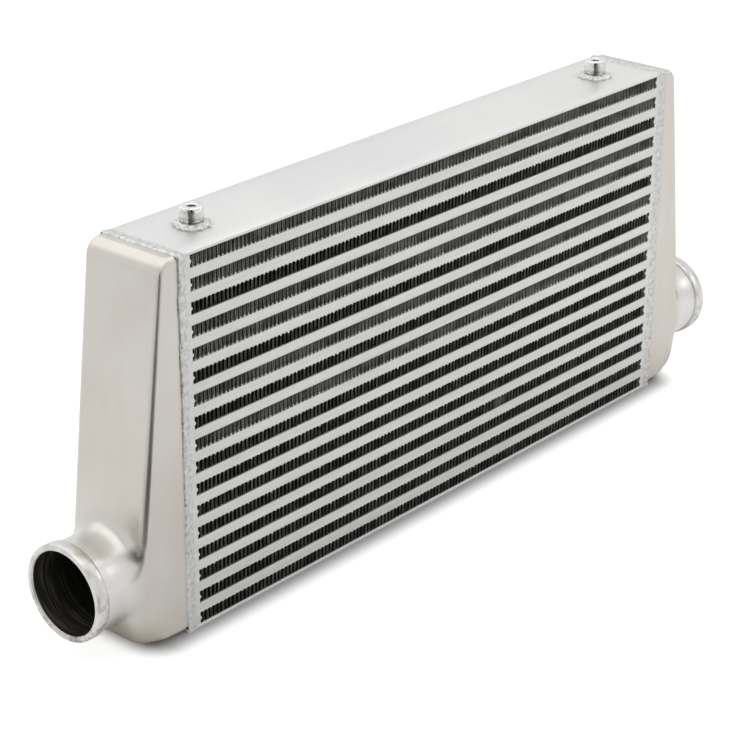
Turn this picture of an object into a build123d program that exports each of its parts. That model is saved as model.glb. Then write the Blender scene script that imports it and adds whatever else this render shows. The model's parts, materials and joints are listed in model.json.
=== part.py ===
from build123d import *
import math
import os

# Bar-and-plate intercooler, in millimetres. X runs from tank to tank, Y from the front
# face to the back face, and Z up. The origin is on the underside, below the middle of the core.

# Core
core_length = 600.0
core_depth = 76.0
air_rows = 17
air_row_height = 9.75
channel_bar_height = 6.9
parting_sheet_thickness = 0.6
end_plate_thickness = 2.3

# Bars that close the rows: short ones beside the tanks, long ones along the front and back
short_bar_width = 12.7
long_bar_width = 7.0
bar_nose = 1.8
bar_nose_flat = 0.4          # share of the bar's height that stays flat at the nose's tip

# Folded strips: air fins between the short bars, turbulators between the long bars
air_fin_folds = 24
air_fin_thickness = 0.45
air_fin_setback = 1.0        # from the front and back faces of the core
turbulator_folds = 4
turbulator_thickness = 0.5
turbulator_setback = 4.0     # from each end of the core
strip_clearance = 0.2        # between a folded strip and the noses beside it

# End tanks, as depths outward from the end of the core
tank_depth_top = 16.25
tank_depth_bottom = 53.75
tank_wall = 4.0
tank_top_radius = 13.0
tank_foot_flat = 2.8         # flat of the underside, from the core to where the foot's rounding starts
tank_edge_radius = 6.0

# Hose ports
port_height = 56.0           # port axis above the underside
port_reach = 88.0            # mouth of the port, outward from the end of the core
port_bore_radius = 33.0
port_wall = 3.0
port_lip_rise = 2.0          # height of the lip's band above the neck
port_lip_width = 12.0
port_lip_chamfer = 1.6
port_flare_start = 63.0      # where the neck begins to widen, outward from the core
port_flare_radius = 25.0
port_flare_steps = 3         # cones that make up the flare
port_flare_spread = 14.0     # from the neck out to the foot of the flare

# Threaded bosses on the top plate
boss_inset = 53.0            # boss axis inward from the end of the core
boss_radius = 9.0
boss_height = 15.0
boss_chamfer = 0.8
boss_thread_radius = 3.4
boss_thread_depth = 13.0
boss_thread_lead_in = 0.8

# Weld beads
seam_bead_core_side = 8.5
seam_bead_tank_side = 1.5
seam_bead_height = 1.4
seam_bead_shoulder = 2.5     # run of the slope on the core side of the bead
boss_bead_width = 5.0
boss_bead_height = 3.5

# Sizes that follow
channel_height = channel_bar_height + 2 * parting_sheet_thickness
row_pitch = air_row_height + channel_height
core_height = air_rows * row_pitch - channel_height + 2 * end_plate_thickness
core_end = core_length / 2
core_front = core_depth / 2
tank_slope = (tank_depth_bottom - tank_depth_top) / core_height
tank_foot_angle = math.atan2(1, tank_slope)
tank_foot_radius = (tank_depth_bottom - tank_foot_flat) * math.tan(tank_foot_angle / 2)
port_neck_radius = port_bore_radius + port_wall
port_lip_radius = port_neck_radius + port_lip_rise
port_root_radius = port_neck_radius + port_flare_spread


def air_row_bottom(row):
    """Height of the underside of an air row, counted from 0 at the bottom."""
    return end_plate_thickness + row * row_pitch


def channel_bottom(row):
    """Height of the underside of the charge channel above an air row."""
    return air_row_bottom(row) + air_row_height


def folded_strip_outline(span, height, folds, thickness):
    """Section of a thin strip in V folds, whose tips touch the sheets above and below it."""
    pitch = span / folds
    # A leg's two sides are its centre line moved up and down by this rise.
    rise = thickness * math.hypot(pitch / 2, height) / pitch
    tips = (rise - height / 2, height / 2 - rise)
    centre = [(step * pitch / 2 - span / 2, tips[step % 2]) for step in range(2 * folds + 1)]
    upper = [(along, up + rise) for along, up in centre]
    lower = [(along, up - rise) for along, up in reversed(centre)]
    return upper + lower


def air_fin(row):
    """One corrugated air fin, folded along X and open from front to back."""
    span = core_length - 2 * (short_bar_width + bar_nose + strip_clearance)
    outline = folded_strip_outline(span, air_row_height, air_fin_folds, air_fin_thickness)
    section = Plane.XZ * make_face(Polyline(*outline, close=True))
    strip = extrude(section, core_front - air_fin_setback, both=True)
    return Pos(0, 0, air_row_bottom(row) + air_row_height / 2) * strip


def charge_channel(row):
    """One charge passage: two parting sheets brazed to a front and a back long bar."""
    half_width = core_front - long_bar_width
    half_height = channel_bar_height / 2
    nose_width = half_width - bar_nose
    nose_height = half_height * bar_nose_flat
    right_side = [
        (half_width, -half_height),
        (nose_width, -nose_height),
        (nose_width, nose_height),
        (half_width, half_height),
    ]
    left_side = [(-across, -up) for across, up in right_side]
    passage = make_face(Polyline(*right_side, *left_side, close=True))
    section = Plane.YZ * (Rectangle(core_depth, channel_height) - passage)
    channel = extrude(section, core_end, both=True)
    return Pos(0, 0, channel_bottom(row) + channel_height / 2) * channel


def turbulator(row):
    """The folded strip inside a charge passage, open from tank to tank."""
    span = core_depth - 2 * (long_bar_width + bar_nose + strip_clearance)
    outline = folded_strip_outline(span, channel_bar_height, turbulator_folds, turbulator_thickness)
    section = Plane.YZ * make_face(Polyline(*outline, close=True))
    strip = extrude(section, core_end - turbulator_setback, both=True)
    return Pos(0, 0, channel_bottom(row) + channel_height / 2) * strip


def short_bar(row):
    """One bar that closes an air row beside the right tank, with its nose inwards."""
    half_height = air_row_height / 2
    nose_height = half_height * bar_nose_flat
    inner = core_end - short_bar_width
    outline = [
        (core_end, -half_height),
        (core_end, half_height),
        (inner, half_height),
        (inner - bar_nose, nose_height),
        (inner - bar_nose, -nose_height),
        (inner, -half_height),
    ]
    section = Plane.XZ * make_face(Polyline(*outline, close=True))
    bar = extrude(section, core_front, both=True)
    return Pos(0, 0, air_row_bottom(row) + half_height) * bar


def short_bars():
    """The stack of short bars on the right, one for each air row."""
    return Compound(children=[short_bar(row) for row in range(air_rows)])


def end_plate(bottom):
    """A flat plate that closes the core above its top row or below its bottom row."""
    plate = Box(core_length, core_depth, end_plate_thickness)
    return Pos(0, 0, bottom + end_plate_thickness / 2) * plate


def tank_profile(wall):
    """Side view of the right tank without its port, drawn in from its outer faces by a wall."""
    lean = wall * math.hypot(1, tank_slope)
    floor = wall
    roof = core_height - wall
    edge = FilletPolyline(
        (-wall, floor),
        (tank_depth_bottom - tank_slope * floor - lean, floor),
        (tank_depth_bottom - tank_slope * roof - lean, roof),
        (-wall, roof),
        radius=[tank_foot_radius - wall, tank_top_radius - wall],
    )
    return Plane.XZ * make_face(edge + Line(edge @ 1, edge @ 0))


def rounded_tank_wedge():
    """The outside of the wedge, with its two long outer edges rounded."""
    corners = [(0, 0), (tank_depth_bottom, 0), (tank_depth_top, core_height), (0, core_height)]
    block = extrude(Plane.XZ * make_face(Polyline(*corners, close=True)), core_front, both=True)
    long_edges = block.edges().filter_by(
        lambda edge: abs(edge.length - core_height * math.hypot(1, tank_slope)) < 0.01
    )
    return fillet(long_edges, tank_edge_radius) & extrude(tank_profile(0), core_depth, both=True)


def tank_cavity():
    """The room inside the right tank, which reaches a little into the open side at the core."""
    return extrude(tank_profile(tank_wall), core_front - tank_wall, both=True)


def port_neck():
    """The round neck of a port and its flare, which is cut flat at the tank's two sides."""
    sweep = math.acos(1 - port_flare_spread / port_flare_radius)
    curve = [
        (
            port_flare_start - port_flare_radius * math.sin(sweep * step / port_flare_steps),
            port_neck_radius + port_flare_radius * (1 - math.cos(sweep * step / port_flare_steps)),
        )
        for step in range(port_flare_steps + 1)
    ]
    outline = [(port_flare_start, 0), *curve, (0, port_root_radius), (0, 0)]
    flare = revolve(Plane.XZ * make_face(Polyline(*outline, close=True)), Axis.X, 360)
    slab = Box(2 * port_flare_start, core_depth, 2 * port_root_radius)
    neck_length = port_reach - port_lip_width / 2
    neck = Cylinder(port_neck_radius, neck_length, align=(Align.CENTER, Align.CENTER, Align.MIN))
    return Pos(0, 0, port_height) * ((flare & slab) + Rot(0, 90, 0) * neck)


def port_lip():
    """The raised band round the mouth of a port, which the hose is pushed over."""
    band = Cylinder(port_lip_radius, port_lip_width, align=(Align.CENTER, Align.CENTER, Align.MAX))
    band = chamfer(band.edges().sort_by(Axis.Z)[-1], port_lip_chamfer)
    return Pos(port_reach, 0, port_height) * Rot(0, 90, 0) * band


def port_bore():
    """The straight bore from the mouth of a port into the tank."""
    bore = Cylinder(port_bore_radius, port_reach, align=(Align.CENTER, Align.CENTER, Align.MIN))
    return Pos(0, 0, port_height) * Rot(0, 90, 0) * bore


def right_tank():
    """The right cast tank: a hollow wedge, open to the core, with its port at the foot."""
    outer = rounded_tank_wedge() + port_neck() + port_lip()
    tank = outer - tank_cavity() - port_bore()
    return Pos(core_end, 0, 0) * tank


def seam_bead():
    """The weld round the front, top and back of the right seam; the underside run is dressed flush."""
    stations = [
        (core_end - seam_bead_core_side, 0),
        (core_end - seam_bead_core_side + seam_bead_shoulder, seam_bead_height),
        (core_end, seam_bead_height),
        (core_end + seam_bead_tank_side, 0),
    ]
    middle = core_height / 2
    rings = [
        Plane((along, 0, middle), x_dir=(0, 1, 0), z_dir=(1, 0, 0))
        * Rectangle(core_depth + 2 * proud, core_height + 2 * proud)
        for along, proud in stations
    ]
    bead = loft(Sketch(rings), ruled=True)
    core = Pos(core_end, 0, middle) * Box(4 * seam_bead_core_side, core_depth, core_height)
    below = Pos(core_end, 0, -seam_bead_height) * Box(
        4 * seam_bead_core_side, 2 * core_depth, 2 * seam_bead_height
    )
    return bead - core - below


def right_boss():
    """A turned boss welded to the top plate, with a blind threaded hole."""
    body = Cylinder(boss_radius, boss_height, align=(Align.CENTER, Align.CENTER, Align.MIN))
    body = chamfer(body.edges().sort_by(Axis.Z)[-1], boss_chamfer)
    hole = Cylinder(
        boss_thread_radius, boss_thread_depth, align=(Align.CENTER, Align.CENTER, Align.MAX)
    )
    lead_in = Cone(
        boss_thread_radius,
        boss_thread_radius + boss_thread_lead_in,
        boss_thread_lead_in,
        align=(Align.CENTER, Align.CENTER, Align.MAX),
    )
    boss = body - Pos(0, 0, boss_height) * (hole + lead_in)
    return Pos(core_end - boss_inset, 0, core_height) * boss


def boss_bead():
    """The fillet weld round the foot of the right boss."""
    section = make_face(
        Polyline(
            (boss_radius, 0),
            (boss_radius + boss_bead_width, 0),
            (boss_radius, boss_bead_height),
            close=True,
        )
    )
    bead = revolve(Plane.XZ * section, Axis.Z, 360)
    return Pos(core_end - boss_inset, 0, core_height) * bead


def mirrored(shape):
    """The left-hand twin of a piece on the right."""
    return mirror(shape, about=Plane.YZ)


def pair(shape):
    """A small piece on the right together with its twin on the left."""
    return Compound(children=[shape, mirrored(shape)])


def build_pieces():
    """Every piece of the intercooler by its name."""
    pieces = {
        "bottom_plate": end_plate(0),
        "top_plate": end_plate(core_height - end_plate_thickness),
    }
    for row in range(air_rows):
        pieces[f"air_fin_{row + 1:02d}"] = air_fin(row)
    for row in range(air_rows - 1):
        pieces[f"charge_channel_{row + 1:02d}"] = charge_channel(row)
        pieces[f"turbulator_{row + 1:02d}"] = turbulator(row)
    for name, piece in (
        ("short_bars", short_bars()),
        ("tank", right_tank()),
        ("seam_weld", seam_bead()),
    ):
        pieces[f"right_{name}"] = piece
        pieces[f"left_{name}"] = mirrored(piece)
    pieces["bosses"] = pair(right_boss())
    pieces["boss_welds"] = pair(boss_bead())
    return pieces


os.makedirs("parts", exist_ok=True)
for name, piece in build_pieces().items():
    export_step(piece, f"parts/{name}.step")
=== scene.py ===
import json
import math

import bmesh
import bpy
from mathutils import Matrix, Vector, noise


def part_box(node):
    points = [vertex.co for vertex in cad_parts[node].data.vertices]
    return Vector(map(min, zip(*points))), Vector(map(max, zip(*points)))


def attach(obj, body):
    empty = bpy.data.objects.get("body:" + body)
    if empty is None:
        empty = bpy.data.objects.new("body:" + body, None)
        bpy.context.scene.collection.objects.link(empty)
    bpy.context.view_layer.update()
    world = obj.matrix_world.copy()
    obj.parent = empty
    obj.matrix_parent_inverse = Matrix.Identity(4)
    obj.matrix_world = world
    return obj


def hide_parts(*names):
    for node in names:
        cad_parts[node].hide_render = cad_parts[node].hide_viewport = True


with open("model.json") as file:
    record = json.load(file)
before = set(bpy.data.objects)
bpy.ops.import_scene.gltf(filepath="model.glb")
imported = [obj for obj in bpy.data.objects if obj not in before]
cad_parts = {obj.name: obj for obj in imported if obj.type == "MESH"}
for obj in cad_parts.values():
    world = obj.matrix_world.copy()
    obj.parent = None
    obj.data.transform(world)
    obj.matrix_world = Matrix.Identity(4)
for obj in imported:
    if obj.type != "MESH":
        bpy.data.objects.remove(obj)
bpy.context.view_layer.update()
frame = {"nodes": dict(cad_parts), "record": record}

# ---- Sizes in metres: X from tank to tank, Y from front to back, Z up ----
MM = 0.001
core_end = 300 * MM
core_front = 38 * MM
core_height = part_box("top_plate")[1].z
air_rows = 17
air_row_height = 9.75 * MM
channel_height = 8.1 * MM
row_pitch = air_row_height + channel_height
end_plate_thickness = 2.3 * MM
boss_line = core_end - 53 * MM  # each boss's axis, from the middle of the core
hair = 0.1 * MM  # margin for choosing corners by their place

# ---- Shader nodes ----


def add(tree, kind, inputs=None, **settings):
    """Adds a shader node, sets it up and wires or fills its inputs."""
    node = tree.nodes.new("ShaderNode" + kind)
    for key, value in settings.items():
        setattr(node, key, value)
    for socket, value in (inputs or {}).items():
        if isinstance(value, bpy.types.NodeSocket):
            tree.links.new(value, node.inputs[socket])
        else:
            node.inputs[socket].default_value = value
    return node


def math_node(tree, operation, *values):
    """A Math node's result."""
    return add(tree, "Math", dict(enumerate(values)), operation=operation).outputs[0]


def ramp(tree, value, low, high, start=0.0, end=1.0):
    """A smooth step of a value between two limits."""
    limits = {"Value": value, "From Min": low, "From Max": high, "To Min": start, "To Max": end}
    return add(tree, "MapRange", limits, interpolation_type="SMOOTHSTEP").outputs[0]


def mul_add(tree, value, factor, start):
    """A value times a factor, added to a start."""
    return math_node(tree, "MULTIPLY_ADD", value, factor, start)


def times(tree, *values):
    """The product of several values."""
    product = values[0]
    for value in values[1:]:
        product = math_node(tree, "MULTIPLY", product, value)
    return product


def mix_colours(tree, share, first, second):
    """A blend of two colours."""
    return add(tree, "Mix", {0: share, 6: first, 7: second}, data_type="RGBA").outputs[2]


def place_on_piece(tree):
    """The place on the piece, as a vector and as its three parts."""
    place = add(tree, "TexCoord").outputs["Object"]
    return place, tuple(add(tree, "SeparateXYZ", {0: place}).outputs)


def place_at(tree, *parts):
    """A vector from its parts."""
    return add(tree, "CombineXYZ", dict(enumerate(parts))).outputs[0]


def distance(tree, place, middle):
    """How far a place is from a point."""
    return add(tree, "VectorMath", {0: place, 1: middle}, operation="DISTANCE").outputs["Value"]


def grain(tree, place, scale, detail=2.0, stretch=None):
    """An even cloudy pattern between 0 and 1, stretched where wanted."""
    if stretch:
        place = add(tree, "Mapping", {"Vector": place, "Scale": stretch}).outputs[0]
    return add(tree, "TexNoise", {"Vector": place, "Scale": scale, "Detail": detail}).outputs["Fac"]


# ---- Camera, floor and light ----
camera_place = (-1.33538, -1.10682, 0.87131)
camera_heading, camera_dip, camera_roll = -49.115, 23.753, 0.150  # degrees
camera_lens = 113.11
# Each box's name, place, target, size and power.
soft_boxes = (
    ("overhead_box", (0.1, 0.1, 1.9), (0.1, 0.1, 0), (3.2, 2.4), 20),
    ("back_box", (-0.3, 1.5, 1.5), (-0.3, 0, 0.3), (1.8, 1.0), 3),
    ("front_box", (1.35, -1.1, 0.95), (-0.25, 0, 0.1), (0.7, 0.5), 1.7),
)
room_level, ceiling_level, open_level = 0.94, 0.6, 0.1
open_side = (-0.69, -0.71, 0.12)  # towards the main view, where the room is unlit


def place_camera():
    """The main view, from the left and above."""
    bpy.ops.object.camera_add(location=camera_place)
    camera = bpy.context.object
    turn = (
        Matrix.Rotation(math.radians(camera_heading), 4, "Z")
        @ Matrix.Rotation(math.radians(90 - camera_dip), 4, "X")
        @ Matrix.Rotation(math.radians(camera_roll), 4, "Z")
    )
    camera.matrix_world = Matrix.Translation(camera.location) @ turn
    camera.data.lens = camera_lens
    camera.data.sensor_width = 36
    bpy.context.scene.camera = camera


def soft_box(name, place, target, size, power):
    """A rectangular area light that faces a point."""
    bpy.ops.object.light_add(type="AREA", location=place)
    lamp = bpy.context.object
    lamp.name = name
    lamp.data.shape = "RECTANGLE"
    lamp.data.size, lamp.data.size_y = size
    lamp.data.energy = power
    lamp.rotation_mode = "QUATERNION"
    lamp.rotation_quaternion = (Vector(target) - Vector(place)).to_track_quat("-Z", "Y")


def light_studio():
    """Soft boxes above, behind and to the front right, in a pale room that is open on one side."""
    for box in soft_boxes:
        soft_box(*box)
    world = bpy.data.worlds.new("room")
    bpy.context.scene.world = world
    world.use_nodes = True
    tree = world.node_tree
    tree.nodes.clear()
    where = add(tree, "TexCoord").outputs["Generated"]
    facing = add(tree, "VectorMath", {0: where, 1: open_side}, operation="DOT_PRODUCT")
    # the ceiling behind the overhead box is darker, for that box adds to it
    up = add(tree, "SeparateXYZ", {0: where}).outputs[2]
    room = ramp(tree, up, 0.6, 0.82, room_level, ceiling_level)
    lit = ramp(tree, facing.outputs["Value"], 0.92, 0.985, room, open_level)
    seen = add(tree, "LightPath").outputs["Is Camera Ray"]
    level = math_node(tree, "MAXIMUM", lit, seen)
    background = add(tree, "Background", {"Color": (1, 1, 1, 1), "Strength": level})
    add(tree, "OutputWorld", {"Surface": background.outputs[0]})


def dark_strip(tree, x, y):
    """1 on the strip of floor in front of the cooler's left end, towards the open side."""
    towards = mul_add(tree, x, -0.70, times(tree, y, -0.71))
    across = mul_add(tree, x, 0.71, times(tree, y, -0.70))
    strip = times(tree, ramp(tree, across, -0.48, -0.40), ramp(tree, across, 0.24, 0.30, 1, 0))
    return times(tree, ramp(tree, towards, 0.40, 0.48), strip)


def beside_foot(tree, x, y):
    """The distance over the floor from where the core and the tanks stand on it."""
    beside_x = math_node(tree, "ABSOLUTE", math_node(tree, "ADD", x, 7 * MM))
    beside_x = math_node(tree, "SUBTRACT", beside_x, core_end + 11 * MM)
    beside_y = math_node(tree, "SUBTRACT", math_node(tree, "ABSOLUTE", y), core_front - 12 * MM)
    sides = [math_node(tree, "MAXIMUM", side, 0) for side in (beside_x, beside_y)]
    away = add(tree, "VectorMath", {0: place_at(tree, *sides)}, operation="LENGTH")
    return away.outputs["Value"]


def lay_floor():
    """A wide pale floor: white in view, with a painted shadow that deepens the real one round the
    foot, and a strip dark in the metal.
    """
    bpy.ops.mesh.primitive_plane_add(size=12)
    floor = bpy.context.object
    floor.name = "floor"
    paint = bpy.data.materials.new("floor_paint")
    paint.use_nodes = True
    tree = paint.node_tree
    tree.nodes.clear()
    x, y, _ = place_on_piece(tree)[1]
    dark = dark_strip(tree, x, y)
    away = beside_foot(tree, x, y)
    path = add(tree, "LightPath")
    colour = mix_colours(tree, dark, (0.86, 0.86, 0.86, 1), (0.05, 0.045, 0.04, 1))
    # in view the floor's own colour is darker, which deepens the painted shadow round the foot
    colour = mix_colours(tree, path.outputs["Is Camera Ray"], colour, (0.34, 0.34, 0.34, 1))
    # in view the floor is lifted to white, but not close round the foot, where a painted shadow is
    # left that is deeper than the real one
    lift_and_painted_shadow = ramp(tree, away, 10 * MM, 36 * MM, 0, 0.8)
    lift_and_painted_shadow = mul_add(tree, dark, 0.3, lift_and_painted_shadow)
    in_view = times(tree, path.outputs["Is Camera Ray"], lift_and_painted_shadow)
    # in the metal the floor is a little brighter, but not close round the foot: a painted shadow in
    # its reflections
    mirrored_lift_and_painted_shadow = mul_add(tree, dark, -0.1, 0.1)
    mirrored_lift_and_painted_shadow = times(tree, mirrored_lift_and_painted_shadow, ramp(tree, away, 0, 80 * MM), path.outputs["Is Glossy Ray"])
    diffuse = add(tree, "BsdfDiffuse", {"Color": colour})
    glow = add(tree, "Emission", {"Strength": math_node(tree, "ADD", in_view, mirrored_lift_and_painted_shadow)})
    both = add(tree, "AddShader", {0: diffuse.outputs[0], 1: glow.outputs[0]})
    add(tree, "OutputMaterial", {"Surface": both.outputs[0]})
    floor.data.materials.append(paint)


place_camera()
light_studio()
lay_floor()
bpy.ops.object.select_all(action="DESELECT")

# ---- Modelling moves ----


def start_piece(name):
    """Names the new primitive and puts its place into its mesh."""
    piece = bpy.context.object
    piece.name = name
    piece.data.name = name
    bpy.ops.object.transform_apply(location=True, rotation=True, scale=True)
    return piece


def add_box(name, low, high):
    """A block between two corners."""
    middle = [(a + b) / 2 for a, b in zip(low, high)]
    size = [b - a for a, b in zip(low, high)]
    bpy.ops.mesh.primitive_cube_add(size=1, location=middle, scale=size)
    return start_piece(name)


def choose(kind, wanted):
    """In edit mode, selects the vertices, edges or faces whose corners all pass a test."""
    mesh = bpy.context.edit_object.data
    bpy.ops.mesh.select_mode(type=kind)
    bpy.ops.mesh.select_all(action="DESELECT")
    shape = bmesh.from_edit_mesh(mesh)
    for part in {"VERT": shape.verts, "EDGE": shape.edges, "FACE": shape.faces}[kind]:
        corners = [part] if kind == "VERT" else part.verts
        part.select_set(all(wanted(corner.co) for corner in corners))
    shape.select_flush_mode()
    bmesh.update_edit_mesh(mesh)


def cut_through(place, normal, **settings):
    """In edit mode, cuts the whole mesh by a plane."""
    bpy.ops.mesh.select_all(action="SELECT")
    bpy.ops.mesh.bisect(plane_co=place, plane_no=normal, threshold=0.001 * MM, **settings)


def extrude(*step):
    """In edit mode, draws what is chosen out by a step."""
    bpy.ops.mesh.extrude_region_move(TRANSFORM_OT_translate={"value": step})


def face_outwards():
    """In edit mode, turns every face outwards."""
    bpy.ops.mesh.select_all(action="SELECT")
    bpy.ops.mesh.normals_make_consistent(inside=False)


def editing(on):
    """Goes into edit mode or back out of it."""
    bpy.ops.object.mode_set(mode="EDIT" if on else "OBJECT")


def apply_modifier(piece, kind, **settings):
    """Adds a modifier, sets it up and applies it."""
    bpy.context.view_layer.objects.active = piece
    modifier = piece.modifiers.new(kind.lower(), kind)
    for key, value in settings.items():
        setattr(modifier, key, value)
    bpy.ops.object.modifier_apply(modifier=modifier.name)


def repeat(piece, count, step, **settings):
    """Repeats a piece, each a step further than the last."""
    apply_modifier(
        piece,
        "ARRAY",
        count=count,
        use_relative_offset=False,
        use_constant_offset=True,
        constant_offset_displace=step,
        **settings,
    )


def combine(piece, tool, operation):
    """Joins, or cuts, a piece with another that is used up."""
    apply_modifier(piece, "BOOLEAN", object=tool, operation=operation, solver="EXACT")
    bpy.data.objects.remove(tool, do_unlink=True)


def take_up(parts):
    """Selects only these pieces, the first of them active."""
    bpy.ops.object.select_all(action="DESELECT")
    for part in parts:
        part.select_set(True)
    bpy.context.view_layer.objects.active = parts[0]


def join_pieces(parts, name):
    """Makes one piece of several."""
    take_up(parts)
    bpy.ops.object.join()
    piece = bpy.context.object
    piece.name = piece.data.name = name
    return piece


def copy_piece(piece, name):
    """A copy with its own mesh."""
    twin = piece.copy()
    twin.data = piece.data.copy()
    twin.name = twin.data.name = name
    bpy.context.scene.collection.objects.link(twin)
    return twin


def mirror_piece(piece, name):
    """The twin of a piece on the other side of the middle of the cooler."""
    twin = copy_piece(piece, name)
    twin.data.transform(Matrix.Scale(-1, 4, (1, 0, 0)))
    twin.data.flip_normals()
    return twin


def finish_piece(piece, node):
    """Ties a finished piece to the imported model, in place of the node that it stands for."""
    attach(piece, "root")
    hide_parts(node)


def finish_both(left, right_name, left_node, right_node):
    """Mirrors a piece of the left half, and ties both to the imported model."""
    right = mirror_piece(left, right_name)
    finish_piece(left, left_node)
    finish_piece(right, right_node)


# ---- End tanks ----
tank_depth_top = 16.25 * MM
tank_depth_bottom = 53.75 * MM
tank_slope = (tank_depth_bottom - tank_depth_top) / core_height
tank_foot_run = 26 * MM  # of the foot's rounding, along the underside
cavity_foot_run = 47 * MM
tank_top_run = 11.47 * MM
tank_wall = 4 * MM
tank_spare = 8 * MM  # extra length towards the core, cut off at the end
port_height = 56 * MM
port_bore_radius = 33 * MM
port_neck_radius = 36 * MM
port_mouth = core_end + 88 * MM
port_flare_start = core_end + 53 * MM
port_flare_radius = 10 * MM
port_flare_spread = 6 * MM
tank_voxel = 1.1 * MM
widest_edge = 18 * MM  # of the rounding of the long edges, at the foot
foot_top = 45
# Above the foot, how widely they are rounded up to each height. These are in millimetres.
edge_steps = ((60, 6), (140, 1.1), (180, 1.4), (230, 1.9), (285, 2.7), (301, 3.6))


def leaning_block(name, wall, inner, foot_run):
    """The left tank's wedge, drawn in by a wall and rounded at its foot and top."""
    lean = wall * math.hypot(1, tank_slope)
    foot = core_end + tank_depth_bottom - tank_slope * wall - lean
    top = core_end + tank_depth_bottom - tank_slope * (core_height - wall) - lean
    side = core_front - wall
    block = add_box(name, (-foot, -side, wall), (-inner, side, core_height - wall))
    editing(True)
    outer = -inner - hair
    choose("VERT", lambda c: c.x < outer and c.z > core_height / 2)
    bpy.ops.transform.translate(value=(foot - top, 0, 0))
    choose("EDGE", lambda c: c.x < outer and c.z < core_height / 2)
    bpy.ops.mesh.bevel(offset=foot_run, segments=24, affect="EDGES")
    choose("EDGE", lambda c: c.x < outer and c.z > core_height - wall - hair)
    bpy.ops.mesh.bevel(offset=tank_top_run - wall, segments=10, affect="EDGES")
    editing(False)
    return block


def edge_width(height, along):
    """How far the tank's long edge is rounded off: widely at the foot, then slimly."""
    if height < foot_top * MM:
        return min(widest_edge, 2 * MM + 0.5 * (along - core_end))
    for top, width in edge_steps:
        if height < top * MM:
            return width * MM
    return 0


def round_long_edges(block):
    """Rounds the two edges that run from the foot over the outer face to the top."""
    editing(True)
    for level in (foot_top, *(top for top, _ in edge_steps[:-1])):
        cut_through((0, 0, level * MM), (0, 0, 1))
    for along in (5, 12, 20):
        cut_through((-core_end - along * MM, 0, 0), (1, 0, 0))
    shape = bmesh.from_edit_mesh(block.data)
    weight = shape.edges.layers.float.new("bevel_weight_edge")
    side, inner = core_front - 0.01 * MM, -core_end + tank_spare - hair
    for edge in shape.edges:
        a, b = (corner.co for corner in edge.verts)
        on_side = abs(a.y) > side and abs(b.y) > side and a.y * b.y > 0
        if on_side and min(a.x, b.x) < inner and len(edge.link_faces) == 2:
            normals = [face.normal for face in edge.link_faces]
            if normals[0].angle(normals[1]) > 1:
                width = edge_width((a.z + b.z) / 2, max(core_end, -(a.x + b.x) / 2))
                edge[weight] = width / widest_edge
    bmesh.update_edit_mesh(block.data)
    editing(False)
    apply_modifier(
        block,
        "BEVEL",
        width=widest_edge,
        segments=6,
        limit_method="WEIGHT",
        use_clamp_overlap=False,
    )


def widen(growth):
    """In edit mode, widens what is chosen about the port's axis."""
    centre = (0, 0, port_height)
    bpy.ops.transform.resize(value=(1, growth, growth), center_override=centre)


def flared_neck():
    """The left port's neck and flare, cut flat at the tank's two sides."""
    neck_end = port_mouth - 0.5 * MM  # inside the lip
    bpy.ops.mesh.primitive_cylinder_add(
        vertices=128,
        radius=port_neck_radius,
        depth=neck_end - port_flare_start,
        location=(-(neck_end + port_flare_start) / 2, 0, port_height),
        rotation=(0, math.pi / 2, 0),
    )
    neck = start_piece("neck")
    editing(True)
    choose("VERT", lambda c: c.x > -port_flare_start - hair)
    sweep = math.acos(1 - port_flare_spread / port_flare_radius)
    steps = 10
    radius, along = port_neck_radius, 0
    for step in range(1, steps + 1):
        turn = sweep * step / steps
        wider = port_neck_radius + port_flare_radius * (1 - math.cos(turn))
        further = port_flare_radius * math.sin(turn)
        extrude(further - along, 0, 0)
        widen(wider / radius)
        radius, along = wider, further
    extrude(port_flare_start - along - core_end, 0, 0)
    for side in (-1, 1):
        cut_through((0, side * core_front, 0), (0, side, 0), clear_outer=True, use_fill=True)
    face_outwards()
    editing(False)
    return neck


def lathe(name, outline, steps, centre, axis):
    """Turns a closed outline of points once round an axis."""
    bpy.ops.mesh.primitive_circle_add(vertices=len(outline), radius=1 * MM, fill_type="NOTHING")
    piece = start_piece(name)
    for corner, point in zip(piece.data.vertices, outline):
        corner.co = point
    editing(True)
    bpy.ops.mesh.select_all(action="SELECT")
    bpy.ops.mesh.spin(steps=steps, angle=math.tau, center=centre, axis=axis)
    bpy.ops.mesh.select_all(action="SELECT")
    bpy.ops.mesh.remove_doubles(threshold=0.01 * MM)
    face_outwards()
    editing(False)
    return piece


def port_lip():
    """The raised band round the mouth, which is sunk into the neck's wall."""
    # behind the mouth, and from the port's axis, in millimetres
    outline = (
        (0.2, 34.0), (0.0, 34.6), (0.0, 36.4), (0.5, 37.5), (1.6, 38.0), (9.4, 38.0),
        (10.5, 37.7), (11.3, 37.0), (11.8, 36.2), (12.0, 35.0), (10.0, 34.0),
    )
    outline = [(back * MM - port_mouth, 0, port_height + out * MM) for back, out in outline]
    return lathe("port_lip", outline, 144, (0, 0, port_height), (1, 0, 0))


def bore_cutter():
    """What the port's bore is cut with: round, and wider where it leaves the mouth."""
    depth = 56 * MM
    start = port_mouth - 1.6 * MM
    bpy.ops.mesh.primitive_cylinder_add(
        vertices=144,
        radius=port_bore_radius,
        depth=depth,
        location=(depth / 2 - start, 0, port_height),
        rotation=(0, math.pi / 2, 0),
    )
    cutter = start_piece("bore")
    editing(True)
    choose("VERT", lambda c: c.x < hair - start)
    for along, radius in ((0.8, 33.2), (0.6, 33.9), (0.4, 35.2), (2.0, 35.2)):
        extrude(-along * MM, 0, 0)
        shape = bmesh.from_edit_mesh(cutter.data)
        now = max(corner.co.z for corner in shape.verts if corner.select) - port_height
        widen(radius * MM / now)
    editing(False)
    return cutter


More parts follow.
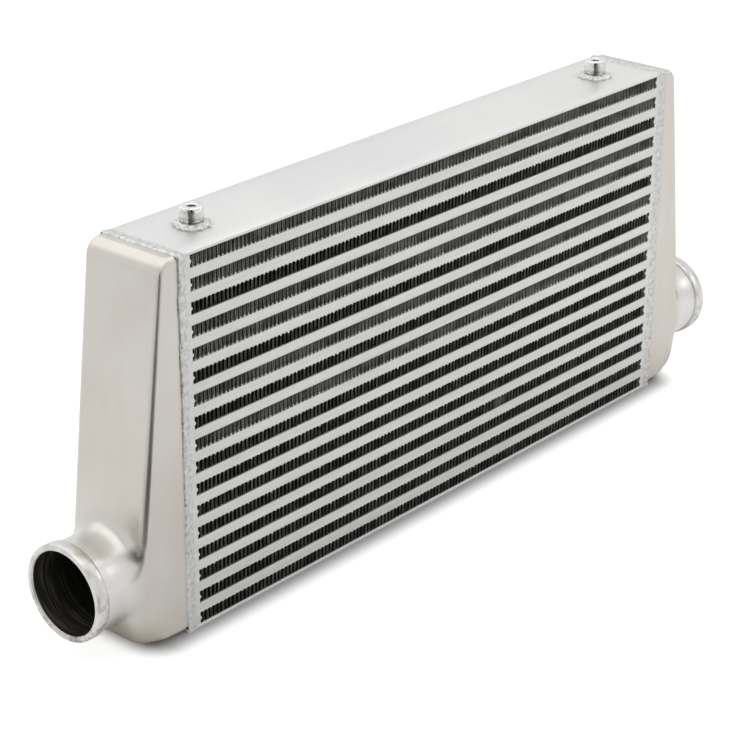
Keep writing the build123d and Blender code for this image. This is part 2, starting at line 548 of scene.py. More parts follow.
def seam_groove():
    """The frame that is cut away beside the seam, as a shallow groove round the tank."""
    width, depth, clear = 0.45 * MM, 0.6 * MM, 45 * MM
    outer = -core_end - width
    groove = add_box(
        "groove",
        (outer, -clear, -5 * MM),
        (-core_end + 0.3 * MM, clear, 310 * MM),
    )
    hole = add_box(
        "hole",
        (outer - MM, -core_front + depth, depth),
        (-core_end + 2 * MM, core_front - depth, core_height - depth),
    )
    combine(groove, hole, "DIFFERENCE")
    return groove


def share_between(value, low, high):
    """0 at the low value, 1 at the high one, and straight between."""
    return min(1, max(0, (value - low) / (high - low)))


def melt_flare(tank):
    """Lets the flare, the foot and the front and back faces run softly into one another."""
    soft = tank.vertex_groups.new(name="soft_flare")
    foot_end = (core_end + tank_depth_bottom) / MM
    for corner in tank.data.vertices:
        # in millimetres, as the limits below are
        along, across, height = -corner.co.x / MM, abs(corner.co.y) / MM, corner.co.z / MM
        proud = along - foot_end + tank_slope * height
        flare = share_between(proud, 0.2, 2.5) * share_between(height, 106, 96)
        below = max(share_between(height, 92, 72) ** 3, flare) * share_between(height, 6, 22)
        above = share_between(height, 118, 108) * share_between(across, 32, 24)
        reach = share_between(along, 318, 334) * share_between(along, 370, 362)
        soft.add([corner.index], max(below, above if height > 60 else 0) * reach, "REPLACE")
    apply_modifier(tank, "SMOOTH", factor=0.5, iterations=300, vertex_group=soft.name)


def pressed(away):
    """A small distance from a flat face, made smaller: the waves in the face go."""
    share = min(1, abs(away) / (0.7 * MM))
    return away * share * share * (3 - 2 * share)


def press_flat(tank):
    """Presses the tank's flat faces quite flat and leaves what is rounded."""
    length = math.hypot(1, tank_slope)
    for corner in tank.data.vertices:
        place = corner.co
        out = (core_end + tank_depth_bottom - tank_slope * place.z + place.x) / length
        place.x -= (out - pressed(out)) / length
        place.z += (out - pressed(out)) * tank_slope / length
        side = math.copysign(core_front, place.y)
        place.y = side + pressed(place.y - side)
        level = 0 if place.z < core_height / 2 else core_height
        place.z = level + pressed(place.z - level)


def tilt(turn):
    """Turns the shape in hand about the Y axis."""
    editing(True)
    bpy.ops.mesh.select_all(action="SELECT")
    bpy.ops.transform.rotate(value=turn, orient_axis="Y", center_override=(0, 0, 0))
    editing(False)


def paint_inside(hollow):
    """Gives a cutting block the finish of the inside, which the faces that it cuts take over."""
    hollow.data.materials.append(cast)
    hollow.data.materials.append(inside)
    mouth = port_mouth - 1.5 * MM
    for face in hollow.data.polygons:
        face.material_index = 1 if face.center.x > -mouth else 0
    return hollow


def left_tank_casting():
    """The left tank: its rounded wedge and flared port, hollow and open to the core."""
    tank = leaning_block("left_tank_casting", 0, core_end - tank_spare, tank_foot_run)
    tank.data.materials.append(cast)
    tank.data.materials.append(inside)
    round_long_edges(tank)
    combine(tank, flared_neck(), "UNION")
    # the outer face stands upright while the grid is laid through it, or it would be stepped
    lean = math.atan(tank_slope)
    tilt(lean)
    apply_modifier(tank, "REMESH", mode="VOXEL", voxel_size=tank_voxel)
    apply_modifier(tank, "SMOOTH", factor=0.5, iterations=8)
    tilt(-lean)
    press_flat(tank)
    melt_flare(tank)
    combine(tank, port_lip(), "UNION")
    cavity = leaning_block("cavity", tank_wall, core_end - 2 * tank_spare, cavity_foot_run)
    bore = bore_cutter()
    for hollow in (cavity, bore):
        combine(tank, paint_inside(hollow), "DIFFERENCE")
    combine(tank, seam_groove(), "DIFFERENCE")
    editing(True)
    cut_through((-core_end, 0, 0), (1, 0, 0), clear_outer=True)
    bpy.ops.mesh.select_mode(type="EDGE")
    bpy.ops.mesh.select_all(action="DESELECT")
    bpy.ops.mesh.select_non_manifold()
    bpy.ops.mesh.bridge_edge_loops()
    face_outwards()
    editing(False)
    tank.data.shade_smooth()
    take_up([tank])
    bpy.ops.object.shade_smooth_by_angle(angle=math.radians(40))
    return tank


# ---- Core: plates, bars and folded fins ----
short_bar_width = 12.7 * MM
bar_nose = 1.8 * MM
long_bar_width = 7 * MM
long_bar_setback = 0.12 * MM
fin_span = 2 * (core_end - short_bar_width - bar_nose - 0.2 * MM)
fin_folds = 135
fin_thickness = 0.2 * MM
fin_depth = core_front - 1 * MM  # the fins end a little behind the two faces
fin_bend = 2.5 * MM  # how far behind their ends the legs are bent
sheet_thickness = 0.6 * MM


def row_bottom(row):
    """Height of the underside of an air row, from 0 at the bottom."""
    return end_plate_thickness + row * row_pitch


def soften(piece, width, segments=2):
    """Rounds off every sharp edge a little."""
    apply_modifier(piece, "BEVEL", width=width, segments=segments, limit_method="ANGLE")


def end_plate(name, bottom):
    """One of the two plates that close the core, with softly broken edges."""
    top = bottom + end_plate_thickness
    plate = add_box(name, (-core_end, -core_front, bottom), (core_end, core_front, top))
    editing(True)
    for cut in range(1, 40):
        cut_through((-core_end + cut * core_end / 20, 0, 0), (1, 0, 0))
    for cut in (-24, -8, 8, 24):
        cut_through((0, cut * MM, 0), (0, 1, 0))
    editing(False)
    soften(plate, 0.35 * MM)
    plate.data.shade_smooth()
    return plate


def channel(name, row):
    """A charge channel: long bars in front and behind, between two brazed sheets."""
    low = row_bottom(row) + air_row_height
    high = low + channel_height
    sheets = (low, low + sheet_thickness), (high - sheet_thickness, high)
    parts = []
    for side in (-1, 1):
        ends = (side * (core_front - long_bar_width), side * (core_front - long_bar_setback))
        near, far = sorted(ends)
        low_corner = (-core_end, near, sheets[0][1])
        parts.append(add_box("long_bar", low_corner, (core_end, far, sheets[1][0])))
    for under, over in sheets:
        low_corner = (-core_end, -core_front, under)
        parts.append(add_box("sheet", low_corner, (core_end, core_front, over)))
    for part in parts:
        soften(part, 0.16 * MM)
    return join_pieces(parts, name)


def short_bar_stack(name):
    """The bars that close the air rows beside the left tank, noses inwards."""
    low = row_bottom(0)
    inner = -core_end + short_bar_width
    nose, nose_half = 1.3 * MM, 1.7 * MM
    bar = add_box(name, (-core_end, -core_front, low), (inner, core_front, low + air_row_height))
    editing(True)
    middle = low + air_row_height / 2
    for side in (-1, 1):
        cut_through((0, 0, middle + side * nose_half), (0, 0, 1))
    choose("FACE", lambda c: c.x > inner - hair and abs(c.z - middle) < nose_half + hair)
    extrude(nose, 0, 0)
    bpy.ops.transform.resize(value=(1, 1, 0.45), center_override=(0, 0, middle))
    editing(False)
    soften(bar, 0.2 * MM)
    repeat(bar, air_rows, (0, 0, row_pitch))
    return bar


# One fold of the fin, from the middle of a wide trough over a narrow crest to the next.
fold_pitch = fin_span / fin_folds
fin_rise = air_row_height - fin_thickness
foot_corner = ((0.30 * MM, 0.12 * MM), (0.12 * MM, 0.30 * MM))
top_corner = ((0.08 * MM, 0.20 * MM), (0.16 * MM, 0.08 * MM))
# Rows whose fin stands the other way up, and is paler and less even, from 0 at the bottom.
upturned_rows = (16, 15, 13, 12, 10, 8)
# The row and place of the folds that were knocked flat.
knocked_row, knocked_x = 3, 76 * MM


def fin_steps(trough_half, crest_half):
    """The steps of a fold's line: half a trough, a leg up, a crest, a leg down, half a trough."""
    corners = (*foot_corner, *top_corner)
    leg_run = fold_pitch / 2 - trough_half - crest_half - sum(run for run, _ in corners)
    leg_rise = fin_rise - sum(rise for _, rise in corners)
    leg = (leg_run / 2, leg_rise / 2)
    up = [(trough_half, 0), *foot_corner, leg, leg, *top_corner, (crest_half, 0)]
    return up + [(run, -rise) for run, rise in reversed(up)]


def fin_strip(name, trough_half, crest_half):
    """The lowest row's fin: one fold drawn out edge by edge, repeated and thickened."""
    bottom = row_bottom(0) + fin_thickness / 2
    bpy.ops.mesh.primitive_plane_add(size=1)
    strip = start_piece(name)
    for corner in strip.data.vertices:
        along = 0 if corner.co.x < 0 else trough_half
        corner.co = (-fin_span / 2 + along, math.copysign(fin_depth, corner.co.y), bottom)
    editing(True)
    edge_at = -fin_span / 2 + trough_half
    for run, climb in fin_steps(trough_half, crest_half)[1:]:
        choose("EDGE", lambda c: c.x > edge_at - 0.001 * MM)
        extrude(run, 0, climb)
        edge_at += run
    for cut in (-fin_depth + fin_bend, 0):
        cut_through((0, cut, 0), (0, 1, 0))
    editing(False)
    repeat_folds(strip)
    apply_modifier(strip, "SOLIDIFY", thickness=fin_thickness, offset=0, use_even_offset=True)
    return strip


def repeat_folds(piece):
    """Repeats a fold, or what belongs to it, along the row."""
    repeat(
        piece, fin_folds, (fold_pitch, 0, 0), use_merge_vertices=True, merge_threshold=0.005 * MM
    )


def braze_fillets():
    """The brazing metal that has run in beside each crest, where it meets the sheet above."""
    crest = row_bottom(0) + air_row_height
    middle = -fin_span / 2 + fold_pitch / 2
    front = -core_front + 0.95 * MM
    drop, half = 1.5 * MM, 0.5 * MM
    low_corner = (middle - half, front, crest - drop)
    fillet = add_box("braze_fillets", low_corner, (middle + half, front + 2 * MM, crest))
    editing(True)
    waist = crest - 0.55 * drop
    cut_through((0, 0, waist), (0, 0, 1))
    choose("VERT", lambda c: c.z > crest - 0.01 * MM)
    bpy.ops.transform.resize(value=(3.0, 1, 1), center_override=(middle, 0, crest))
    choose("VERT", lambda c: abs(c.z - waist) < 0.01 * MM)
    bpy.ops.transform.resize(value=(1.25, 1, 1), center_override=(middle, 0, crest))
    editing(False)
    repeat_folds(fillet)
    return fillet


def make_fin(straight, fillets, row):
    """A row's fin with its fillets, bent and uneven in its own way."""
    parts = [copy_piece(part, part.name) for part in (straight, fillets)]
    twin = copy_piece(parts[1], "back_fillets")
    twin.data.transform(Matrix.Scale(-1, 4, (0, 1, 0)))
    twin.data.flip_normals()
    parts.append(twin)
    shape_fillets(parts[1:], row)
    piece = join_pieces(parts, f"fin_strip_{row + 1:02d}")
    middle = row_bottom(0) + air_row_height / 2
    if row in upturned_rows:
        over = Matrix.Translation((0, 0, 2 * middle)) @ Matrix.Scale(-1, 4, (0, 0, 1))
        piece.data.transform(over)
        piece.data.flip_normals()
    piece.data.transform(Matrix.Translation((0, 0, row * row_pitch)))
    bend_legs(piece, row)
    return piece


def shape_fillets(parts, row):
    """Makes each fillet a little larger or smaller than the next."""
    crest = row_bottom(0) + air_row_height
    for part in parts:
        for corner in part.data.vertices:
            fold = math.floor((corner.co.x + fin_span / 2) / fold_pitch)
            middle = -fin_span / 2 + (fold + 0.5) * fold_pitch
            size = 1 + 0.75 * noise.noise((fold * 1.37, row * 5.3, math.copysign(3, corner.co.y)))
            size *= 0.62 if row in upturned_rows else 0.9
            corner.co.x = middle + (corner.co.x - middle) * size
            corner.co.z = crest - (crest - corner.co.z) * size


def bend_legs(strip, row):
    """Leans and dents the legs near the two faces, more so in the upturned rows."""
    middle = row_bottom(row) + air_row_height / 2
    loose = 0.55 if row in upturned_rows else 0.16
    for corner in strip.data.vertices:
        place = corner.co
        near_face = max(0.0, (abs(place.y) - fin_depth + 2.4 * MM) / (2.4 * MM))
        height = (place.z - middle) / (air_row_height / 2)
        free = max(0.0, 1 - height * height)
        leg = math.floor((place.x + fin_span / 2) / (fold_pitch / 2) + 0.5)
        lean = noise.noise((leg * 0.73, row * 7.1, 0.5 + math.copysign(2, place.y)))
        dent = noise.noise((place.x * 90, place.z * 500, row * 3.3 + place.y * 9))
        patch = noise.noise((place.x * 9, row * 2.7, math.copysign(4, place.y)))
        rough = max(0.0, patch - 0.35) * 3
        if row == knocked_row and place.y < 0:
            rough += max(0.0, 1 - abs(place.x - knocked_x) / (16 * MM)) * 1.6
        shift = near_face * free * (loose * lean + loose * dent + 0.7 * rough * (dent + 0.3))
        # the folds run in a shallow wave from front to back, so the row can't be seen through
        wave = max(0.0, 1 - abs(place.y) / (fin_depth - fin_bend)) * fold_pitch / 2
        wave *= min(1, (fin_span / 2 - abs(place.x)) / (10 * MM))
        place.x += shift * MM + wave


# ---- Weld beads and bosses ----
bead_core_side = 8.5 * MM
bead_tank_side = 0.5 * MM
bead_height = 1.3 * MM
ripple_pitch = 2.3 * MM


def ripple_strip(name, length):
    """A flat weld bead along X, made of one crescent ripple repeated. Its tank side is at +Y."""
    across = bead_core_side + bead_tank_side
    heights = (1.0, 0.985, 0.95, 0.91, 1.0)
    steps = len(heights) - 1
    bpy.ops.mesh.primitive_grid_add(x_subdivisions=steps, y_subdivisions=12, size=1)
    bead = start_piece(name)
    for corner in bead.data.vertices:
        step = round((corner.co.x + 0.5) * steps)
        side = 2 * corner.co.y
        crown = (1 - max(0, side) ** 3.5) ** 0.7 * (0.5 + 0.5 * math.sin(math.pi / 2 * side))
        if side < 0:
            crown = 0.5 * (1 + side) ** 0.8 * (1 + 0.5 * side)
        ridge = 1 - (1 - heights[step]) * min(1, 3 * crown)
        bulge = 1.2 * MM * (1 - side * side)
        corner.co = (
            (corner.co.x + 0.5) * ripple_pitch + bulge,
            corner.co.y * across,
            bead_height * crown * ridge,
        )
    ripples = math.ceil(length / ripple_pitch) + 2
    repeat(
        bead, ripples, (ripple_pitch, 0, 0), use_merge_vertices=True, merge_threshold=0.01 * MM
    )
    return bead


def wrap_over_core(bead):
    """Lays a flat bead up the front of the left seam, over the top and down the back."""
    up, over = core_height, 2 * core_front
    half = (bead_core_side + bead_tank_side) / 2
    for corner in bead.data.vertices:
        run, across, proud = corner.co
        run = min(max(run - 1.3 * MM, 0), 2 * up + over)
        side = across / half
        wobble = 1.2 * MM * noise.noise((run * 55, 1.7, 3.0)) * max(0, side)
        wobble += 0.9 * MM * noise.noise((run * 240, 8.1, 3 * side)) * abs(side)
        pits = 0.5 * MM * max(0, noise.noise((run * 600, across * 600, 2.0)) - 0.2)
        lumps = 0.45 * MM * noise.noise((run * 170, across * 170, 9.0))
        if proud > 0.02 * MM:
            proud = min(max(0.05 * MM, proud + lumps - pits), 1.35 * MM)
        else:
            proud = -0.1 * MM
        x = -core_end - across + half - bead_tank_side + wobble
        x = max(x, -core_end - 1.4 * MM)
        if run < up:
            corner.co = (x, -core_front - proud, run)
        elif run < up + over:
            corner.co = (x, run - up - core_front, core_height + proud)
        else:
            corner.co = (x, core_front + proud, 2 * up + over - run)


def seam_bead(name):
    """The weld between the core and the left tank."""
    bead = ripple_strip(name, 2 * core_height + 2 * core_front)
    wrap_over_core(bead)
    return bead


def left_boss():
    """A turned boss with a blind hole."""
    radii = (
        (0.2, 0.0), (9.0, 0.0), (9.0, 14.1), (8.85, 14.6), (8.3, 14.93), (7.6, 15.0),
        (4.5, 15.0), (4.2, 14.9), (3.45, 14.2), (3.4, 13.9), (3.4, 2.6), (3.1, 2.2), (0.2, 1.2),
    )
    outline = [(radius * MM - boss_line, 0, core_height + up * MM) for radius, up in radii]
    return lathe("left_boss", outline, 72, (-boss_line, 0, core_height), (0, 0, 1))


def left_boss_weld():
    """The lobed fillet weld round the boss."""
    x, foot = -boss_line, core_height
    inner, reach_out = 8.6, 5.6
    radii = (
        (inner, 0.0), (14.2, 0.0), (14.0, 0.7), (13.1, 1.6), (11.7, 2.2), (10.4, 3.0), (9.4, 3.5),
        (inner, 3.2),
    )
    outline = [(x + radius * MM, 0, foot + up * MM) for radius, up in radii]
    weld = lathe("left_boss_weld", outline, 160, (x, 0, foot), (0, 0, 1))
    for corner in weld.data.vertices:
        out = Vector((corner.co.x - x, corner.co.y))
        up = corner.co.z - foot
        reach = (out.length - inner * MM) / (reach_out * MM)
        if reach < 0.05:
            continue
        turn = math.atan2(out.y, out.x)
        around = (math.cos(turn) * 2, math.sin(turn) * 2, 1)
        lobes = math.sin(9 * turn + 2.2 * noise.noise(around) * 2)
        lumps = noise.noise((corner.co.x * 260, corner.co.y * 260, corner.co.z * 260))
        spread = reach * (0.55 * lobes + 0.9 * lumps) * MM
        out = out.normalized() * (out.length + spread)
        corner.co.x, corner.co.y = x + out.x, out.y
        if up > 0.05 * MM:
            rise = (0.35 * lobes + 0.5 * lumps) * MM * (0.4 + reach)
            corner.co.z = foot + max(0.15 * MM, up + rise)
    return weld


# ---- Finishes ----
def start_finish(name, metallic=1.0):
    """A new finish, its nodes, and the place on the piece."""
    finish = bpy.data.materials.new(name)
    finish.use_nodes = True
    tree = finish.node_tree
    tree.nodes["Principled BSDF"].inputs["Metallic"].default_value = metallic
    place, (x, y, z) = place_on_piece(tree)
    return finish, tree, place, (math_node(tree, "ABSOLUTE", x), y, z)


def set_surface(finish, colour, roughness, height, depth):
    """Ends a finish with its colour, its roughness and the relief of its grain."""
    tree = finish.node_tree
    shader = tree.nodes["Principled BSDF"]
    tree.links.new(colour, shader.inputs["Base Color"])
    tree.links.new(roughness, shader.inputs["Roughness"])
    bump = add(tree, "Bump", {"Height": height, "Distance": depth, "Strength": 1.0})
    tree.links.new(bump.outputs[0], shader.inputs["Normal"])


def near(tree, value, middle, reach, edge):
    """1 within a reach of a value, falling to 0 over an edge."""
    away = math_node(tree, "ABSOLUTE", math_node(tree, "SUBTRACT", value, middle))
    return ramp(tree, away, reach, reach + edge, 1, 0)


def from_boss(tree, side, y):
    """The distance from the axis of the nearer boss."""
    return distance(tree, place_at(tree, side, y), (boss_line, 0, 0))


def cast_finish():
    """Blasted, hand-rubbed casting: satin, a little warm, stained round the lip, with painted shade
    by the weld and at the foot, a painted reflection by the flare and a painted highlight on the
    port.
    """
    finish, tree, place, (side, y, z) = start_finish("cast_aluminium")
    cloud = grain(tree, place, 11, 4)
    rub = grain(tree, place, 60, 5, (1, 1, 0.25))
    fine = grain(tree, place, 1500, 3)
    tone = mul_add(tree, rub, 0.3, times(tree, cloud, 0.7))
    colour = mix_colours(
        tree, ramp(tree, tone, 0.3, 0.7), (0.575, 0.545, 0.50, 1), (0.635, 0.612, 0.568, 1)
    )
    # a painted highlight: the port is paler and less warm
    port = ramp(tree, side, core_end + 40 * MM, core_end + 58 * MM, 0, 0.8)
    colour = mix_colours(tree, port, colour, (0.71, 0.705, 0.685, 1))
    # painted warm shade towards the underside of the foot
    foot = ramp(tree, z, 0, 40 * MM, 0.3, 0)
    colour = mix_colours(tree, foot, colour, (0.60, 0.54, 0.46, 1))
    # painted brown shade on the underside beside the neck
    under = times(
        tree,
        ramp(tree, side, core_end + 20 * MM, core_end + 42 * MM),
        ramp(tree, z, 8 * MM, 32 * MM, 0.6, 0),
    )
    colour = mix_colours(tree, under, colour, (0.47, 0.41, 0.32, 1))
    # painted shade in the groove beside the weld, broken up along its length
    wander = mul_add(tree, grain(tree, place, 90, 3), 1.2 * MM, side)
    seam = times(
        tree,
        ramp(tree, wander, core_end + 0.6 * MM, core_end + 1.1 * MM, 0.9, 0),
        ramp(tree, grain(tree, place, 45, 2), 0.35, 0.6, 0.35, 1),
        ramp(tree, y, 34 * MM, 37 * MM, 1, 0.3),
        ramp(tree, z, 0, 5 * MM, 0.3, 1),
    )
    # a soft painted shade on the tank beside the groove
    seam_soft_painted_shade = ramp(tree, wander, core_end + 1 * MM, core_end + 4.5 * MM, 0.3, 0)
    colour = mix_colours(tree, seam_soft_painted_shade, colour, (0.38, 0.36, 0.33, 1))
    colour = mix_colours(tree, seam, colour, (0.07, 0.062, 0.055, 1))
    # grey scuffs and specks round the mouth of the port
    mouth = ramp(tree, side, port_mouth - 14 * MM, port_mouth - 9 * MM)
    scuff = ramp(tree, grain(tree, place, 120, 6), 0.42, 0.64)
    speck = ramp(tree, grain(tree, place, 480, 3), 0.60, 0.70)
    low = ramp(tree, z, 20 * MM, 80 * MM, 1, 0.3)
    worn = times(tree, mouth, low, math_node(tree, "MAXIMUM", scuff, speck), 0.9)
    colour = mix_colours(tree, worn, colour, (0.26, 0.25, 0.23, 1))
    # a painted dark reflection in the hollow where the flare meets the long edge
    flare_hollow_painted_reflection = distance(tree, place_at(tree, side, y, z), (core_end + 47 * MM, -33 * MM, 83 * MM))
    flare_hollow_painted_reflection = times(tree, ramp(tree, flare_hollow_painted_reflection, 1 * MM, 9 * MM, 0.9, 0), ramp(tree, rub, 0.25, 0.5))
    colour = mix_colours(tree, flare_hollow_painted_reflection, colour, (0.12, 0.10, 0.085, 1))
    roughness = ramp(tree, tone, 0.25, 0.75, 0.27, 0.35)
    set_surface(finish, colour, roughness, fine, 0.03 * MM)
    return finish


def bore_finish():
    """The inside of a tank, painted dark for the shade in it, with the marks of the boring tool."""
    finish, tree, place, (side, _, _) = start_finish("bored_inside", 0.6)
    rings = grain(tree, place, 1, 3, (900, 14, 14))
    streak = grain(tree, place, 30, 3, (6, 1, 1))
    tone = times(tree, ramp(tree, rings, 0.4, 0.68), ramp(tree, streak, 0.35, 0.7))
    # painted shade, darker further from the mouth
    depth = ramp(tree, side, port_mouth - 40 * MM, port_mouth, 0.4, 1)
    colour = mix_colours(
        tree, times(tree, tone, depth), (0.026, 0.024, 0.021, 1), (0.28, 0.27, 0.24, 1)
    )
    set_surface(finish, colour, ramp(tree, tone, 0, 1, 0.55, 0.38), rings, 0.05 * MM)
    return finish


def bar_finish():
    """Brazed bar stock: pale, matt, with a fine even grain and a few grey smudges."""
    finish, tree, place, (side, _, _) = start_finish("bar_aluminium")
    speckle = grain(tree, place, 1100, 3)
    drawn = grain(tree, place, 40, 4, (0.25, 1, 8))
    smudge = grain(tree, place, 17, 4)
    colour = mix_colours(
        tree, ramp(tree, drawn, 0.3, 0.7), (0.635, 0.635, 0.62, 1), (0.715, 0.715, 0.70, 1)
    )
    colour = mix_colours(
        tree, ramp(tree, smudge, 0.56, 0.75, 0, 0.3), colour, (0.53, 0.52, 0.50, 1)
    )
    colour = mix_colours(
        tree, ramp(tree, speckle, 0.55, 0.75, 0, 0.35), colour, (0.54, 0.54, 0.53, 1)
    )
    # painted shade where the bars meet the tank at the seam
    joint_painted_shade = ramp(tree, side, core_end - 1.6 * MM, core_end - 0.8 * MM)
    colour = mix_colours(tree, joint_painted_shade, colour, (0.06, 0.055, 0.05, 1))
    roughness = ramp(tree, drawn, 0.3, 0.7, 0.44, 0.56)
    set_surface(finish, colour, roughness, speckle, 0.05 * MM)
    return finish


def plate_finish():
    """Brazed sheet: matt and pale, faintly rolled along its length, dulled round the welds."""
    finish, tree, place, (side, y, _) = start_finish("plate_aluminium")
    rolled = grain(tree, place, 60, 4, (0.05, 1, 1))
    cloud = grain(tree, place, 9, 4)
    fine = grain(tree, place, 1200, 2)
    colour = mix_colours(
        tree, ramp(tree, cloud, 0.35, 0.65), (0.675, 0.68, 0.675, 1), (0.72, 0.72, 0.71, 1)
    )
    colour = mix_colours(
        tree, ramp(tree, rolled, 0.5, 0.8, 0, 0.2), colour, (0.62, 0.62, 0.61, 1)
    )
    away = from_boss(tree, side, y)
    away = mul_add(tree, grain(tree, place, 120, 4), 12 * MM, away)
    ring = times(tree, near(tree, away, 21 * MM, 0.6 * MM, 2.2 * MM), 0.35)
    heat = math_node(tree, "MAXIMUM", ring, ramp(tree, away, 14 * MM, 34 * MM, 0.12, 0))
    colour = mix_colours(tree, heat, colour, (0.50, 0.49, 0.47, 1))
    beside = mul_add(tree, grain(tree, place, 150, 4), -6 * MM, side)
    beside = ramp(tree, beside, core_end - 16 * MM, core_end - 10 * MM, 0, 0.3)
    colour = mix_colours(tree, beside, colour, (0.52, 0.51, 0.49, 1))
    set_surface(finish, colour, ramp(tree, rolled, 0.3, 0.7, 0.46, 0.54), fine, 0.03 * MM)
    return finish


def weld_finish():
    """Weld metal: bright and lumpy, with small dark pits near its edge."""
    finish, tree, place, (side, y, _) = start_finish("weld_aluminium")
    lumps = grain(tree, place, 260, 4)
    pits = ramp(tree, grain(tree, place, 330, 3), 0.62, 0.72)
    edge = mul_add(tree, grain(tree, place, 150, 3), 3 * MM, side)
    edge = ramp(tree, edge, core_end - 3.5 * MM, core_end + 1.0 * MM, 0.1, 1)
    ring = near(tree, from_boss(tree, side, y), 12 * MM, 3 * MM, 3 * MM)
    edge = math_node(tree, "MAXIMUM", edge, ring)
    colour = mix_colours(
        tree, ramp(tree, lumps, 0.3, 0.7), (0.52, 0.52, 0.51, 1), (0.68, 0.68, 0.67, 1)
    )
    colour = mix_colours(tree, times(tree, pits, edge), colour, (0.2, 0.195, 0.19, 1))
    set_surface(finish, colour, ramp(tree, lumps, 0.3, 0.7, 0.52, 0.38), lumps, 0.25 * MM)
    return finish


def boss_finish():
    """Turned bar: bright, ringed by the tool, with a few dull marks."""
    finish, tree, place, (side, y, z) = start_finish("turned_aluminium")
    away = from_boss(tree, side, y)
    along = math_node(tree, "ADD", away, z)
    rings = add(tree, "TexNoise", {"W": along, "Scale": 2600, "Detail": 2}, noise_dimensions="1D")
    rings = rings.outputs["Fac"]
    marks = ramp(tree, grain(tree, place, 190, 4), 0.55, 0.72)
    colour = mix_colours(
        tree, times(tree, marks, 0.5), (0.80, 0.79, 0.77, 1), (0.45, 0.43, 0.41, 1)
    )
    # a painted dark reflection as a streak up the front left of each boss, wavering a little
    offset = math_node(tree, "SUBTRACT", side, boss_line)
    x = add(tree, "SeparateXYZ", {0: place}).outputs[0]
    offset = times(tree, offset, math_node(tree, "SIGN", x))
    turned = mul_add(tree, offset, 0.655, times(tree, y, -0.756))
    turned = mul_add(tree, grain(tree, place, 160, 3), 2 * MM, turned)
    front = mul_add(tree, offset, -0.756, times(tree, y, -0.655))
    streak = times(
        tree,
        ramp(tree, turned, -1.2 * MM, -0.5 * MM),
        ramp(tree, turned, 1.3 * MM, 5 * MM, 1, 0),
        ramp(tree, front, 0, 4 * MM),
        ramp(tree, z, core_height + 13.4 * MM, core_height + 14.4 * MM, 1, 0),
        0.85,
    )
    colour = mix_colours(tree, streak, colour, (0.07, 0.06, 0.05, 1))
    low = ramp(tree, z, core_height + 3 * MM, core_height + 6 * MM, 0.55, 0)
    colour = mix_colours(tree, times(tree, low, marks), colour, (0.10, 0.095, 0.085, 1))
    hole = ramp(tree, away, 3.2 * MM, 3.7 * MM, 1, 0)
    colour = mix_colours(tree, hole, colour, (0.46, 0.43, 0.40, 1))
    polish = ramp(tree, rings, 0.3, 0.7, 0.08, 0.13)
    roughness = mul_add(tree, marks, 0.12, polish)
    set_surface(finish, colour, roughness, rings, 0.025 * MM)
    return finish


def fin_finish(name, dark, light, edge_colour):
    """Thin brazed strip, painted dark for the shade between the rows, its cut edges paler as
    painted light where they catch it.
    """
    finish, tree, place, (_, y, _) = start_finish(name, 0.5)
    patches = grain(tree, place, 24, 3, (1, 1, 3))
    film = grain(tree, place, 700, 2, (1, 1, 0.1))
    colour = mix_colours(tree, ramp(tree, patches, 0.35, 0.7, 0.2, 0.9), dark, light)
    colour = mix_colours(tree, ramp(tree, film, 0.3, 0.7, 0.0, 0.5), colour, dark)
    depth = math_node(tree, "ABSOLUTE", y)
    # painted light: the front edges of the folds are paler where they catch the light
    front = ramp(tree, depth, core_front - 1.12 * MM, core_front - 1.02 * MM)
    broken = ramp(tree, grain(tree, place, 260, 3, (1, 1, 0.25)), 0.38, 0.62, 0.25, 1)
    colour = mix_colours(tree, times(tree, front, broken), colour, edge_colour)
    # the folds that were knocked flat are paler and browner
    knock = distance(tree, place, (knocked_x, -core_front, row_bottom(knocked_row) + 4.9 * MM))
    knock = ramp(tree, knock, 5 * MM, 12 * MM, 0.75, 0)
    colour = mix_colours(tree, times(tree, knock, broken), colour, (0.30, 0.275, 0.235, 1))
    set_surface(finish, colour, ramp(tree, film, 0.3, 0.7, 0.4, 0.6), film, 0.03 * MM)
    return finish


cast = cast_finish()
inside = bore_finish()
bars = bar_finish()
plate = plate_finish()
weld = weld_finish()
boss = boss_finish()
# the fins' near-black colours are painted shade, for the shade between the rows; their edge colours
# are painted light
fin = fin_finish(
    "fin_aluminium", (0.010, 0.0095, 0.009, 1), (0.034, 0.032, 0.027, 1), (0.34, 0.335, 0.30, 1)
)
pale_fin = fin_finish(
    "pale_fin_aluminium", (0.035, 0.033, 0.028, 1), (0.42, 0.40, 0.335, 1), (0.56, 0.55, 0.50, 1)
)
turbulator = fin_finish(
    "turbulator_aluminium", (0.10, 0.10, 0.095, 1), (0.30, 0.295, 0.28, 1), (0.4, 0.4, 0.38, 1)
)
slots = {
    "tank_casting": cast,
    "core_bars": bars,
    "end_plates": plate,
    "weld_bead": weld,
    "boss_metal": boss,
    "air_fins": fin,
    "turbulators": turbulator,
}
for entry in frame["record"]["subparts"]:
    for spot in frame["nodes"][entry["node"]].material_slots:
        spot.material = slots[entry["material_slot"]]

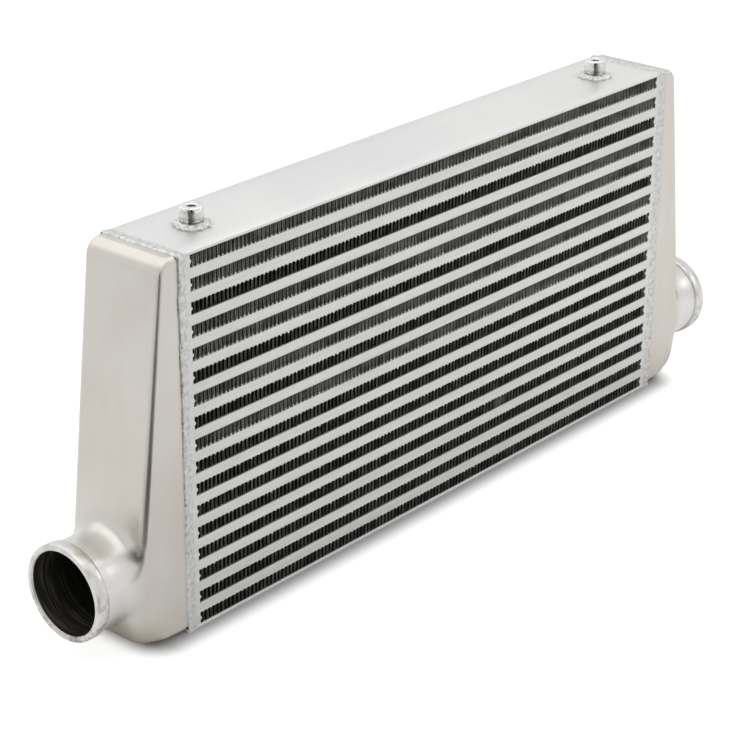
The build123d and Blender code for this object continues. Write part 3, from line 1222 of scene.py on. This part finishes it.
# ---- Pieces, each in place of the nodes that it stands for ----
left_tank = left_tank_casting()
finish_both(left_tank, "right_tank_casting", "left_tank", "right_tank")

for name, bottom, node in (
    ("bottom_end_plate", 0, "bottom_plate"),
    ("top_end_plate", core_height - end_plate_thickness, "top_plate"),
):
    piece = end_plate(name, bottom)
    piece.data.materials.append(plate)
    finish_piece(piece, node)

first_channel = channel("channel_01", 0)
first_channel.data.materials.append(bars)
channels = [first_channel]
for row in range(1, air_rows - 1):
    piece = copy_piece(first_channel, f"channel_{row + 1:02d}")
    piece.data.transform(Matrix.Translation((0, 0, row * row_pitch)))
    channels.append(piece)
for row, piece in enumerate(channels):
    finish_piece(piece, f"charge_channel_{row + 1:02d}")

left_bars = short_bar_stack("left_end_bars")
left_bars.data.materials.append(bars)
finish_both(left_bars, "right_end_bars", "left_short_bars", "right_short_bars")

narrow_fin = fin_strip("narrow_fin", 1.02 * MM, 0.26 * MM)
even_fin = fin_strip("even_fin", 0.88 * MM, 0.36 * MM)
fillets = braze_fillets()
for part in (narrow_fin, even_fin, fillets):
    part.data.materials.append(pale_fin if part == even_fin else fin)
    part.data.materials.append(bars)
fillets.data.polygons.foreach_set("material_index", [1] * len(fillets.data.polygons))
for row in range(air_rows):
    upturned = row in upturned_rows
    piece = make_fin(even_fin if upturned else narrow_fin, fillets, row)
    finish_piece(piece, f"air_fin_{row + 1:02d}")
for part in (narrow_fin, even_fin, fillets):
    bpy.data.objects.remove(part, do_unlink=True)

left_bead = seam_bead("left_seam_bead")
left_bead.data.materials.append(weld)
left_bead.data.shade_smooth()
finish_both(left_bead, "right_seam_bead", "left_seam_weld", "right_seam_weld")

for make, right_name, slot_name, look, node in (
    (left_boss, "right_boss", "boss_metal", boss, "bosses"),
    (left_boss_weld, "right_boss_weld", "weld_bead", weld, "boss_welds"),
):
    piece = make()
    piece.data.materials.append(look)
    piece.data.shade_smooth()
    finish_both(piece, right_name, node, node)

bpy.context.scene.view_settings.view_transform = "Standard"
